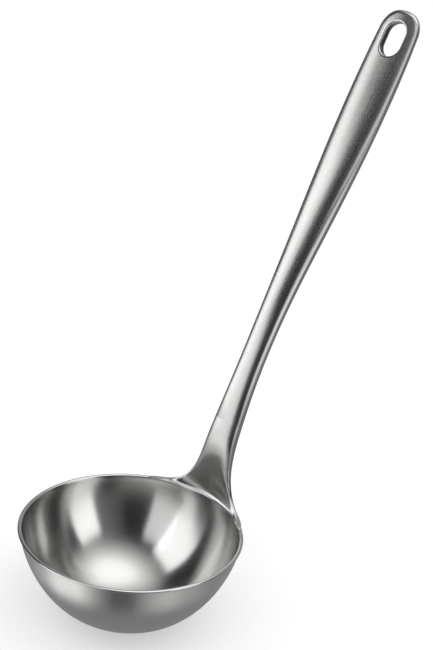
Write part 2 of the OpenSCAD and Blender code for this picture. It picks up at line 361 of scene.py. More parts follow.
    def tilt(self, s: float) -> float:
        """Lean of the section's plane, in degrees."""
        return blend(90.0, self.lean(s), ease(s / (1.5 * self.joint_s)))

    def roundness(self, s: float) -> float:
        """Exponent of the section, where 2 is an ellipse."""
        return blend(self.flare_n, self.section_n, ease(s / (2 * self.joint_s)))

    def seam(self, s: float) -> float:
        """Half width of the seam between the two faces."""
        return max(self.edge_flat, self.seam_w / 2 * (1.0 - self.bend(s)))

    def rise(self, s: float, side: Side, inset: float = 0.0) -> float:
        """Height of a face's crown over the seam's edge."""
        part = blend(0.5, self.crown if side is Side.FRONT else 1.0 - self.crown, ease(s / self.joint_s))
        end_r = self.half_t(self.length) - inset
        d = (s - (self.length - inset - end_r)) / end_r
        close = 1.0 if d <= 0 else sqrt(max(0.0, 1.0 - d * d))
        return max(self.rise_min, 2 * self.half_t(s) * part - inset - self.seam(s)) * close

    def ledge(self, s: float) -> float:
        """Extra depth of the fillet between the rim and the neck's front."""
        if s >= self.ledge_h or s < 0:
            return 0.0
        reach = self.neck_out - self.neck_t / 2 + self.bowl.lip_out + self.bowl.wall
        return reach * (1.0 - sqrt(1.0 - (1.0 - s / self.ledge_h) ** 2))

    def place(self, s: float, w: float, v: float) -> Vector:
        """Point across the handle by w and through it by v, towards the back."""
        px, pz = self.spine(s)
        t = radians(self.tilt(s))
        x, z = px + v * sin(t), pz - v * cos(t)
        k = self.bend(s)
        if k < 0.001:
            return Vector((x, w, z))
        r = px / k
        a = w / r
        inward = k * self.tuck * (w / (self.neck_w / 2 + self.flare_l)) ** 2
        return Vector((x - r * (1 - cos(a)) - inward, r * sin(a), z))

    def skin(self, s: float, angle: float, side: Side, inset: float = 0.0) -> Vector:
        """Point of the neck's or handle's skin.

        Args:
            s: Place along the centre line.
            angle: 0 at the +Y edge, pi at the -Y edge.
            side: The face.
            inset: Depth below the skin.

        Returns:
            The point, in millimetres.
        """
        c, q, n = cos(angle), sin(angle), self.roundness(s)
        across = self.side(s, inset) * copysign(abs(c) ** (2 / n), c)
        depth = self.rise(s, side, inset) + (self.ledge(s) if side is Side.FRONT and inset == 0 else 0.0)
        return self.place(s, across, side.value * (self.seam(s) + depth * max(0.0, q) ** (2 / n)))

    def face_v(self, s: float, w: float, side: Side) -> float:
        """How far a face stands off the middle, across the handle by w."""
        u, n = min(1.0, abs(w) / max(self.side(s), 1e-6)), self.roundness(s)
        return self.seam(s) + self.rise(s, side) * (1.0 - u**n) ** (1.0 / n)

    def along(self, point: Vector) -> tuple[float, float, float]:
        """Place along, across and through the handle of a point in its straight part."""
        s = self.joint_s + (point.z - self.spine(self.joint_s)[1]) / sin(radians(63.0))
        for _ in range(5):
            s = min(max(s, self.joint_s), self.length)
            px, pz = self.spine(s)
            t = radians(self.tilt(s))
            s += (point.x - px) * cos(t) + (point.z - pz) * sin(t)
        px, pz = self.spine(s)
        t = radians(self.tilt(s))
        return s, point.y, (point.x - px) * sin(t) - (point.z - pz) * cos(t)

    def level(self, s: float, w: float, v: float) -> float:
        """1 on the handle's skin, less inside it."""
        side = Side.FRONT if v < 0 else Side.BACK
        high = max(0.0, abs(v) - self.seam(s)) / max(self.rise(s, side), 1e-6)
        wide, n = abs(w) / max(self.side(s), 1e-6), self.roundness(s)
        return wide**n + high**n

    def normal(self, s: float, w: float, v: float) -> Vector:
        """Outward normal of the handle's skin."""
        d = 0.01
        gs = (self.level(s + d, w, v) - self.level(s - d, w, v)) / (2 * d)
        gw = (self.level(s, w + d, v) - self.level(s, w - d, v)) / (2 * d)
        gv = (self.level(s, w, v + d) - self.level(s, w, v - d)) / (2 * d)
        t = radians(self.tilt(s))
        return Vector((gs * cos(t) + gv * sin(t), gw, gs * sin(t) - gv * cos(t))).normalized()


class Graph:
    """The shader nodes of a material or a world, made and linked in short calls."""

    def __init__(self, owner: Material | World) -> None:
        """Turns the owner's nodes on."""
        owner.use_nodes = True
        self.nodes, self.links = owner.node_tree.nodes, owner.node_tree.links

    def feed(self, node: Node, inputs: dict[int | str, object]) -> None:
        """Gives a node's inputs their values, or their links from a socket or a node's first output."""
        for key, value in inputs.items():
            if isinstance(value, (Node, NodeSocket)):
                self.links.new(value.outputs[0] if isinstance(value, Node) else value, node.inputs[key])
            else:
                node.inputs[key].default_value = value

    def add(self, kind: str, inputs: dict[int | str, object], **settings: object) -> Node:
        """Adds a node.

        Args:
            kind: Its type, without the prefix ShaderNode.
            inputs: A value, a socket or a node for each input.
            settings: Its own settings.

        Returns:
            The node.
        """
        made = self.nodes.new("ShaderNode" + kind)
        for key, value in settings.items():
            setattr(made, key, value)
        self.feed(made, inputs)
        return made


@dataclass(frozen=True)
class Steel:
    """A satin stainless steel, brushed one way, with its colour, its grain, its wear and its painted shade."""

    title: str
    slot: str
    lay: Lay
    colour: tuple[float, float, float] = (0.62, 0.62, 0.61)
    shade: float = 0.94
    roughness: float = 0.21
    swing: float = 0.03
    anisotropy: float = 0.7
    lines: float = 6.0
    run: float = 0.06
    depth: float = 0.0003
    speck: float = 4.0
    cloud: float = 0.06
    rubbed: float = 0.08
    # Share of the colour kept under painted shade, where the wear-and-shade mark is -1.
    painted_shade_tone: float = 0.2

    def _scale(self, across: float, along: float) -> tuple[float, float, float]:
        """Scale of the grain attribute's axes for a pattern so many steps a millimetre."""
        return (along, along, across) if self.lay is Lay.ROUND else (across, across, along)

    def _tint(self, part: float) -> tuple[float, ...]:
        """A part of the steel's colour."""
        return (*(c * part for c in self.colour), 1.0)

    def material(self) -> Material:
        """Builds the material, or finds it when it is built already.

        Returns:
            The finished node material.
        """
        made = bpy.data.materials.get(self.title)
        if made:
            return made
        mat = bpy.data.materials.new(self.title)
        graph = Graph(mat)
        grain = graph.add("Attribute", {}, attribute_name=GRAIN).outputs["Vector"]
        wear_and_shade = graph.add("Attribute", {}, attribute_name=WEAR_AND_SHADE).outputs["Fac"]

        def pattern(across: float, along: float, detail: float) -> Node:
            """Noise stretched along the brushing."""
            place = graph.add("Mapping", {"Vector": grain, "Scale": self._scale(across, along)})
            return graph.add("TexNoise", {"Vector": place, "Scale": 1.0, "Detail": detail,
                                          "Roughness": 0.6})

        def ranged(source: Node, low: float, high: float) -> Node:
            """Noise's middle range, spread from low to high."""
            return graph.add("MapRange", {"Value": source, "From Min": 0.3, "From Max": 0.7,
                                          "To Min": low, "To Max": high})

        def total(a: Node, b: Node) -> Node:
            """Sum of two values."""
            return graph.add("Math", {0: a, 1: b})

        lines = pattern(self.lines, self.run, 4.0)
        specks = pattern(self.speck, self.speck * 0.3, 2.0)
        clouds = pattern(self.cloud, self.cloud / 2, 2.0)
        rough = total(ranged(lines, self.roughness - self.swing, self.roughness + self.swing),
                      ranged(clouds, -self.swing / 2, self.swing / 2))
        worn_and_shaded = graph.add("Math", {0: wear_and_shade, 1: -self.rubbed, 2: rough}, operation="MULTIPLY_ADD")
        mixed = total(ranged(lines, 0.0, 0.6), ranged(specks, 0.0, 0.4))
        tone = graph.add("Mix", {0: mixed, 6: self._tint(self.shade), 7: self._tint(1.0)}, data_type="RGBA")
        # Painted shade: a negative mark darkens the colour towards the painted shade tone.
        painted_shade_mask = graph.add("Math", {0: wear_and_shade, 1: -1.0}, operation="MULTIPLY", use_clamp=True)
        painted_shade_mix = graph.add("Mix", {0: painted_shade_mask, 6: tone.outputs[2], 7: self._tint(self.painted_shade_tone)},
                         data_type="RGBA")
        bump = graph.add("Bump", {"Strength": 1.0, "Distance": self.depth * MM,
                                  "Height": total(lines, ranged(specks, 0.0, 0.5))})
        tangent = graph.add("Tangent", {}, direction_type="UV_MAP", uv_map=UV_NAME)
        graph.feed(graph.nodes["Principled BSDF"], {
            "Metallic": 1.0, "Anisotropic": self.anisotropy, "Base Color": painted_shade_mix.outputs[2],
            "Roughness": worn_and_shaded, "Normal": bump, "Tangent": tangent})
        return mat


BOWL_STEEL = Steel("Steel brushed round the bowl", "bowl_steel", Lay.ROUND, roughness=0.19)
NECK_STEEL = Steel("Steel brushed along the neck", "neck_steel", Lay.ALONG)
HANDLE_STEEL = Steel("Steel brushed along the handle", "handle_steel", Lay.ALONG)
WELD_STEEL = Steel("Weld ground flush and brushed", "weld_steel", Lay.ALONG)


class Skin:
    """Collects a piece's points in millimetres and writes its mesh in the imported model's frame."""

    def __init__(self, name: str, origin: Vector) -> None:
        """Starts an empty piece of that name."""
        self.name = name
        self.origin = origin
        self.points: list[tuple[Vector, Sequence[float], Sequence[float], float]] = []
        self.faces: list[tuple[int, ...]] = []

    def add(self, point: Vector, grain: Sequence[float] = (0.0, 0.0, 0.0), turn: Sequence[float] = (0.0, 0.0),
            wear_and_shade: float = 0.0) -> int:
        """Adds a point with its place in the brushing and its wear-and-shade mark, and returns its number."""
        self.points.append((point, grain, turn, wear_and_shade))
        return len(self.points) - 1

    def sheet(self, rows: Sequence[Sequence[int]], closed: bool = False) -> None:
        """Fills the faces between rows of as many points each."""
        for low, high in zip(rows, rows[1:]):
            count = len(low)
            for j in range(count if closed else count - 1):
                k = (j + 1) % count
                self.faces.append((low[j], low[k], high[k], high[j]))

    def fan(self, row: Sequence[int], tip: int) -> None:
        """Fills the faces between a row and one point."""
        self.faces += [(a, b, tip) for a, b in zip(row, row[1:])]

    def cap(self, rows: Sequence[Sequence[int]]) -> None:
        """Closes both ends of a bar of closed rows."""
        self.faces += [tuple(rows[0][::-1]), tuple(rows[-1])]

    def mesh(self, sharp: float = 40.0) -> Object:
        """Writes the mesh, with outward faces and smooth shading.

        Args:
            sharp: Angle between faces, in degrees, past which an edge is sharp.

        Returns:
            The new object, linked to the scene.
        """
        data = bpy.data.meshes.new(self.name)
        points, grain, turn, wear_and_shade = zip(*self.points)
        data.from_pydata([(p - self.origin) * MM for p in points], [], self.faces)
        lay(data, grain, turn, wear_and_shade)
        tidy(data, sharp)
        return show(self.name, data)


def tidy(data: Mesh, sharp: float) -> None:
    """Merges doubles, turns the faces outwards and shades the mesh smooth up to a sharp angle."""
    work = bmesh.new()
    work.from_mesh(data)
    bmesh.ops.remove_doubles(work, verts=work.verts, dist=1e-7)
    bmesh.ops.dissolve_degenerate(work, edges=work.edges, dist=1e-8)
    bmesh.ops.recalc_face_normals(work, faces=work.faces)
    work.to_mesh(data)
    work.free()
    data.shade_smooth()
    data.set_sharp_from_angle(angle=radians(sharp))


def settle(piece: Object) -> Object:
    """Turns an object with live modifiers into a plain one of the same name."""
    bpy.context.view_layer.update()
    graph = bpy.context.evaluated_depsgraph_get()
    data = bpy.data.meshes.new_from_object(piece.evaluated_get(graph))
    piece.modifiers.clear()
    old = piece.data
    piece.data = data
    bpy.data.meshes.remove(old)
    data.name = piece.name
    return piece


def finish(piece: Object, steel: Steel, nodes: Iterable[str]) -> None:
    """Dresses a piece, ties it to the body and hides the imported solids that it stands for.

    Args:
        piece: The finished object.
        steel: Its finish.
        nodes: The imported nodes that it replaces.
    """
    piece.data.materials.clear()
    piece.data.materials.append(steel.material())
    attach(piece, BODY)
    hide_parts(*nodes)
    LOG.info("%s: %d faces", piece.name, len(piece.data.polygons))


@dataclass(frozen=True)
class Sweep:
    """A geometry node tree that turns a line round an axis, or runs a round bead along it."""

    title: str
    turned: bool
    radius: float
    steps: int
    steel: Steel

    def tree(self) -> tuple[NodeTree, dict[str, object]]:
        """Builds the tree.

        Returns:
            The tree and its named sizes' values, by identifier.
        """
        tree = bpy.data.node_groups.new(self.title, "GeometryNodeTree")
        for way in ("INPUT", "OUTPUT"):
            tree.interface.new_socket("Geometry", in_out=way, socket_type="NodeSocketGeometry")
        values = {}
        for name, kind, value in (("Radius", "Float", self.radius * MM), ("Steps round", "Int", self.steps),
                                  ("Finish", "Material", self.steel.material())):
            socket = tree.interface.new_socket(name, in_out="INPUT", socket_type="NodeSocket" + kind)
            values[socket.identifier] = value

        def add(kind: str, **sources: NodeSocket) -> Node:
            """Adds a node whose named inputs take these sockets."""
            made = tree.nodes.new(kind)
            for name, source in sources.items():
                tree.links.new(source, made.inputs[name.replace("_", " ")])
            return made

        given = add("NodeGroupInput").outputs
        line = add("GeometryNodeMeshToCurve", Mesh=given["Geometry"]).outputs["Curve"]
        circle = add("GeometryNodeCurvePrimitiveCircle", Radius=given["Radius"],
                     Resolution=given["Steps round"]).outputs["Curve"]
        curve, profile = (circle, line) if self.turned else (line, circle)
        body = add("GeometryNodeCurveToMesh", Curve=curve, Profile_Curve=profile)
        body.inputs["Fill Caps"].default_value = not self.turned
        joined = add("GeometryNodeMergeByDistance", Geometry=body.outputs["Mesh"])
        joined.inputs["Distance"].default_value = 1e-6
        real = add("GeometryNodeRealizeInstances", Geometry=joined.outputs["Geometry"])
        last = add("GeometryNodeSetMaterial", Geometry=real.outputs[0], Material=given["Finish"])
        add("NodeGroupOutput", Geometry=last.outputs[0])
        return tree, values

    def run(self, name: str, points: Sequence[Vector], marks: Sequence[float] = ()) -> Object:
        """Runs the tree on a line of points.

        Args:
            name: Name of the piece.
            points: The line's points, in metres.
            marks: A value for each point, kept as the attribute run.

        Returns:
            The piece as a plain mesh.
        """
        data = bpy.data.meshes.new(name)
        data.from_pydata(list(points), [(i, i + 1) for i in range(len(points) - 1)], [])
        if marks:
            data.attributes.new("run", "FLOAT", "POINT").data.foreach_set("value", list(marks))
        piece = show(name, data)
        modifier = piece.modifiers.new("Form", "NODES")
        modifier.node_group, values = self.tree()
        for key, value in values.items():
            modifier[key] = value
        return settle(piece)


@dataclass
class Bowl:
    """The bowl, turned from its profile."""

    form: BowlForm
    origin: Vector
    turn_steps: int = 288
    worn_h: float = 1.5

    def build(self) -> None:
        """Turns the profile, lays the grain round it and dresses it."""
        profile = self.form.profile()
        marks = [0.0]
        for (r0, z0), (r1, z1) in zip(profile, profile[1:]):
            marks.append(marks[-1] + hypot(r1 - r0, z1 - z0))
        points = [Vector((r - self.form.rim_r, -z, 0.0)) * MM for r, z in profile]
        sweep = Sweep("Turned bowl", True, self.form.rim_r, self.turn_steps, BOWL_STEEL)
        piece = sweep.run("bowl_spun", points, marks)
        data = piece.data
        if min(v.co.z for v in data.vertices) > -self.form.depth * MM / 2:
            data.transform(Matrix.Scale(-1.0, 4, Vector((0, 0, 1))))
        run = [mark.value for mark in data.attributes["run"].data]
        angles = [atan2(v.co.y, v.co.x) for v in data.vertices]
        lay(data, [(self.form.rim_r * cos(a), self.form.rim_r * sin(a), s) for a, s in zip(angles, run)],
            [(s, degrees(a)) for a, s in zip(angles, run)],
            [min(1.0, max(0.0, 1.0 + v.co.z / MM / self.worn_h)) for v in data.vertices])
        data.transform(Matrix.Translation(-self.origin * MM))
        tidy(data, 75.0)
        finish(piece, BOWL_STEEL, ["bowl"])


@dataclass
class Neck:
    """The neck with its root on the bowl, its flare, and the tang inside the handle."""

    form: HandleForm
    half_steps: int = 48
    tang_l: float = 30.0
    tang_gap: float = 0.15
    ring_h: float = 0.8
    bury: float = 0.45
    root_steps: int = 24
    ledge_steps: int = 14
    ledge_pace: float = 1.6
    rim_s: float = 0.002
    shank_steps: int = 64
    tang_steps: int = 12

    def stations(self) -> list[float]:
        """Places of the sections, from the root's foot to the joint."""
        form = self.form
        root = [-form.root_h * (1 - (i / self.root_steps) ** 2) for i in range(1, self.root_steps)]
        ledge = [form.ledge_h * (i / self.ledge_steps) ** self.ledge_pace for i in range(1, self.ledge_steps)]
        return root + [self.rim_s] + ledge + spread(form.ledge_h, form.joint_s - self.ring_h, self.shank_steps)

    def ring(self, skin: Skin, s: float, inset: float = 0.0) -> list[int]:
        """Adds a whole section and returns its points' numbers."""
        form = self.form
        row = []
        count = 2 * self.half_steps
        for side, order in ((Side.FRONT, range(count + 1)), (Side.BACK, range(count - 1, 0, -1))):
            for i in order:
                a = pi * i / count
                point = form.skin(s, a, side, inset)
                if point.z < 0:
                    radius = hypot(point.x, point.y)
                    least = form.bowl.outer_r(-point.z) - self.bury
                    if radius < least:
                        point = Vector((point.x * least / radius, point.y * least / radius, point.z))
                turn = side.value * degrees(a)
                row.append(skin.add(point, (GRAIN_W * cos(a), GRAIN_T * side.value * sin(a), s),
                                    (turn, s), max(0.0, 0.5 - abs(sin(a))) * 2 * form.bend(s)))
        return row

    def build(self) -> None:
        """Builds the neck and the weld round its upper end."""
        form = self.form
        skin = Skin("neck_forged", form.origin)
        rows = [self.ring(skin, s) for s in self.stations()]
        inset = form.shell_wall + self.tang_gap
        top = form.joint_s - self.ring_h
        rows += [self.ring(skin, s, inset) for s in spread(top, form.joint_s + self.tang_l, self.tang_steps)]
        skin.sheet(rows, closed=True)
        skin.cap(rows)
        finish(skin.mesh(), NECK_STEEL, ["neck"])
        skin = Skin("neck_weld_ground", form.origin)
        rows = [self.ring(skin, s) for s in spread(top, form.joint_s, 4)]
        rows += [self.ring(skin, s, inset) for s in (form.joint_s, top)]
        skin.sheet(rows + rows[:1], closed=True)
        finish(skin.mesh(), WELD_STEEL, ["neck_weld"])


@dataclass
class RootWeld:
    """The weld along the line where the neck's root leaves the bowl."""

    form: HandleForm
    bead_r: float = 0.28
    below_rim: float = 0.35
    steps: int = 40
    bead_steps: int = 12

    def edge(self, z: float) -> Vector | None:
        """Point where the root's skin meets the bowl's, at a height below the rim."""
        form = self.form

        def gap(a: float) -> float:
            """Distance of the root's skin outside the bowl's."""
            point = form.skin(z, a, Side.BACK)
            return hypot(point.x, point.y) - form.bowl.skin_r(-point.z)

        low, high = 1e-4, pi / 2
        if gap(high) <= 0 or gap(low) >= 0:
            return None
        for _ in range(40):
            middle = (low + high) / 2
            low, high = (middle, high) if gap(middle) < 0 else (low, middle)
        return form.skin(z, high, Side.BACK)

    def path(self) -> list[Vector]:
        """The weld's middle line, from one side of the rim round the foot to the other."""
        depths = [-self.form.root_h * sin(pi / 2 * i / self.steps) for i in range(self.steps)]
        left = [p for p in (self.edge(z - self.below_rim) for z in depths) if p]
        return left + [Vector((p.x, -p.y, p.z)) for p in left[::-1]]

    def build(self) -> None:
        """Runs the bead along the line and dresses it."""
        points = [(p - self.form.origin) * MM for p in self.path()]
        sweep = Sweep("Weld bead", False, self.bead_r, self.bead_steps, WELD_STEEL)
        piece = sweep.run("bowl_weld_bead", points)
        places = [tuple(v.co / MM) for v in piece.data.vertices]
        lay(piece.data, places, [(y * MM, z * MM) for _, y, z in places], [0.0] * len(places))
        tidy(piece.data, 60.0)
        finish(piece, WELD_STEEL, ["bowl_weld"])


@dataclass
class Handle:
    """The two halves of the hollow handle and the seam between them."""

    form: HandleForm
    sleeve_wall: float = 1.0
    eye_weld_w: float = 0.5
    steps: int = 150
    tip_steps: int = 22
    face_steps: int = 61
    eye_steps: int = 192
    reach: float = 20.0
    skin_band: float = 0.03
    tip_free: float = 1.0
    facing: float = 0.6

    def stations(self, inset: float) -> list[float]:
        """Places of the sections, closer together round the tip."""
        form = self.form
        start = form.length - form.tip_r
        reach = form.tip_r - inset
        return spread(form.joint_s, start, self.steps) + [
            start + reach * sin(pi / 2 * i / self.tip_steps) for i in range(1, self.tip_steps)]

    def half(self, skin: Skin, side: Side, inset: float) -> tuple[list[list[int]], int]:
        """Adds one skin of a half and returns its rows and its tip."""
        form = self.form
        rows = [[skin.add(form.skin(s, angle, side, inset)) for angle in spread(0.0, pi, self.face_steps)]
                for s in self.stations(inset)]
        return rows, skin.add(form.place(form.length - inset, 0.0, side.value * form.seam_w / 2))

    def shell(self, side: Side, name: str) -> Object:
        """One half with its wall, before the eye is cut."""
        skin = Skin(name, self.form.origin)
        outer, outer_tip = self.half(skin, side, 0.0)
        inner, inner_tip = self.half(skin, side, self.form.shell_wall)
        for rows, tip in ((outer, outer_tip), (inner, inner_tip)):
            skin.sheet(rows)
            skin.fan(rows[-1], tip)
        skin.sheet([outer[0], inner[0]])
        for j in (0, -1):
            skin.sheet([[row[j] for row in outer] + [outer_tip], [row[j] for row in inner] + [inner_tip]])
        return skin.mesh()

    def cutter(self, grow: float) -> Object:
        """A bar of the eye's outline, larger by grow, through the whole handle."""
        skin = Skin("eye_cutter", self.form.origin)
        outline = [self.around(2 * pi * i / self.eye_steps, grow) for i in range(self.eye_steps)]
        rows = [[skin.add(self.lift(u, w, v)) for u, w in outline] for v in (-self.reach, self.reach)]
        skin.sheet(rows, closed=True)
        skin.cap(rows)
        return skin.mesh()

    def around(self, a: float, grow: float) -> tuple[float, float]:
        """Place along and across the eye of a point of its outline."""
        form = self.form
        straight = (form.eye_l - form.eye_w) / 2
        radius = form.eye_w / 2 + grow
        end = copysign(straight, cos(a)) if abs(cos(a)) > 1e-9 else 0.0
        return end + radius * cos(a), radius * sin(a)

    def lift(self, u: float, w: float, v: float) -> Vector:
        """Point in the eye's own square axes."""
        t = radians(self.form.lean(self.form.eye_s))
        return self.form.origin + Vector((u * cos(t) + v * sin(t), w,
                                          u * sin(t) - v * cos(t)))

    def lay_grain(self, piece: Object) -> None:
        """Lays the grain along the handle and sets the skin's true normals."""
        form, data = self.form, piece.data
        grain, turns, normals = [], [], []
        for vertex in data.vertices:
            s, w, v = form.along(vertex.co / MM + form.origin)
            c = max(-1.0, min(1.0, w / max(form.side(s), 1e-3)))
            side = Side.FRONT if v < 0 else Side.BACK
            q = (abs(v) - form.seam(s)) / max(form.rise(s, side), 1e-3)
            grain.append((GRAIN_W * c, GRAIN_T * side.value * q, s))
            turns.append((degrees(atan2(max(q, 0.0), c)) * side.value, s))
            on_skin = abs(form.level(s, w, v) - 1.0) < self.skin_band and s < form.length - self.tip_free
            normals.append(form.normal(s, w, v) if on_skin else None)
        lay(data, grain, turns)
        corners = [corner.vector.copy() for corner in data.corner_normals]
        for face in data.polygons:
            true = [normals[data.loops[k].vertex_index] for k in face.loop_indices]
            if all(n is not None and n.dot(face.normal) > self.facing for n in true):
                for k, n in zip(face.loop_indices, true):
                    corners[k] = n
        data.normals_split_custom_set(corners)

    def build(self) -> None:
        """Builds both halves, cuts the eye through them and closes the seam."""
        cutter = self.cutter(self.sleeve_wall + self.eye_weld_w)
        for side, name, node in ((Side.FRONT, "handle_front_shell", "handle_front"),
                                 (Side.BACK, "handle_back_shell", "handle_back")):
            piece = self.shell(side, name)
            cut = piece.modifiers.new("Eye", "BOOLEAN")
            cut.object, cut.operation, cut.solver = cutter, "DIFFERENCE", "EXACT"
            settle(piece)
            tidy(piece.data, 40.0)
            self.lay_grain(piece)
            finish(piece, HANDLE_STEEL, [node])
        bpy.data.objects.remove(cutter)
        self.seam()

    def seam(self) -> None:
        """The flat bead up one edge, round the tip and down the other."""
        form = self.form
        skin = Skin("seam_weld_ground", form.origin)
        half, depth = form.seam_w / 2, form.shell_wall
        corners = ((0.0, -half), (0.0, half), (depth, half), (depth, -half))
        outer, inner = self.stations(0.0), self.stations(depth)
        rows = []
        for sign, order in ((1, range(len(outer))), (-1, range(len(outer) - 1, -1, -1))):
            for i in order:
                rows.append([skin.add(form.place(s, sign * form.side(s, inset), v))
                             for (inset, v), s in zip(corners, (outer[i], outer[i], inner[i], inner[i]))])
            if sign == 1:
                rows.append([skin.add(form.place(form.length - inset, 0.0, v)) for inset, v in corners])
        skin.sheet(rows, closed=True)
        skin.cap(rows)
        piece = skin.mesh()
        self.lay_grain(piece)
        finish(piece, WELD_STEEL, ["seam_weld"])


@dataclass
class Eye:
    """The sleeve that lines the hanging eye, and the welds round its mouths."""

    handle: Handle
    rounding: float = 0.7
    bore_edge: float = 0.1
    lay_w: float = 0.85
    round_steps: int = 10

    def loop(self, skin: Skin, grow: float, below: float, side: Side, worn_and_shaded: float) -> list[int]:
        """Adds a loop round the eye, outside its outline by grow and below the face.

        Args:
            skin: The piece.
            grow: Distance from the eye's outline.
            below: Depth below the face.
            side: The face.
            worn_and_shaded: The loop's mark: 1 for rubbed wear, 0 for none, -1 for painted shade.

        Returns:
            Its points' numbers.
        """
        form, row = self.handle.form, []
        for i in range(self.handle.eye_steps):
            a = 2 * pi * (i + 0.5) / self.handle.eye_steps
            u, w = self.handle.around(a, grow)
            point = self.handle.lift(u, w, side.value * (form.face_v(form.eye_s + u, w, side) - below))
            row.append(skin.add(point, (self.lay_w * w, GRAIN_T * below, u), (degrees(a), below), worn_and_shaded))
        return row

    def sleeve(self) -> None:
        """The sleeve, with a rounded lip at each mouth and painted shade in its bore."""
        skin = Skin("eye_sleeve_lip", self.handle.form.origin)
        r = self.rounding
        lip = [(r * (1 - cos(b)), r * (1 - sin(b)), 1.0)
               for b in spread(0.0, pi / 2, self.round_steps)]
        # The bore's loops carry -1, painted shade that darkens the bore; the lip's loops carry 1 for rubbed
        # wear.
        path = [(0.0, r + self.bore_edge, -1.0)] + lip + [(self.handle.sleeve_wall, 0.0, 1.0)]
        rows = [self.loop(skin, grow, below, Side.FRONT, worn_and_shaded) for grow, below, worn_and_shaded in path]
        rows += [self.loop(skin, grow, below, Side.BACK, worn_and_shaded) for grow, below, worn_and_shaded in path[::-1]]
        skin.sheet(rows + rows[:1], closed=True)
        finish(skin.mesh(60.0), HANDLE_STEEL, ["eye_sleeve"])

    def welds(self) -> None:
        """The two flat rings that fill the gap between the sleeve and the halves."""
        form = self.handle.form
        skin = Skin("eye_welds_ground", form.origin)
        inner, depth = self.handle.sleeve_wall, form.shell_wall
        outer = inner + self.handle.eye_weld_w
        for side in Side:
            rows = [self.loop(skin, grow, below, side, 0.0)
                    for grow, below in ((inner, 0.0), (outer, 0.0), (outer, depth), (inner, depth))]
            skin.sheet(rows + rows[:1], closed=True)
        piece = skin.mesh()
        self.handle.lay_grain(piece)
        finish(piece, WELD_STEEL, ["eye_welds"])

    def build(self) -> None:
        """Builds the sleeve and its welds."""
        self.sleeve()
        self.welds()


def toward(turn: float, rise: float) -> Vector:
    """Direction at a turn from -Y towards +X and a rise over the horizontal, in degrees."""
    turn, rise = radians(turn), radians(rise)
    return Vector((sin(turn) * cos(rise), -cos(turn) * cos(rise), sin(rise)))


@dataclass(frozen=True)
class Lamp:
    """A soft rectangular lamp, by the turns and rises that it spans as the ladle sees it."""

    name: str
    turns: tuple[float, float]
    rises: tuple[float, float]
    glow: float
    far: float = 1.2

    def build(self, target: Vector, lit: Sequence[Object]) -> None:
        """Hangs the lamp round a target and keeps its light to some pieces.

        Args:
            target: The point that it faces.
            lit: The pieces that it lights.
        """
        middle = toward(sum(self.turns) / 2, sum(self.rises) / 2)
        spans = [2 * self.far * tan(radians(high - low) / 2) for low, high in (self.turns, self.rises)]
        data = bpy.data.lights.new(self.name, "AREA")
        data.shape, data.size, data.size_y = "RECTANGLE", spans[0], spans[1]
        data.energy = self.glow * pi * spans[0] * spans[1]
        lamp = show(self.name, data)
        lamp.location = target + self.far * middle
        lamp.rotation_euler = (-middle).to_track_quat("-Z", "Y").to_euler()
        group = bpy.data.collections.new(self.name + " lights")
        for piece in lit:
            group.objects.link(piece)
        lamp.light_linking.receiver_collection = group


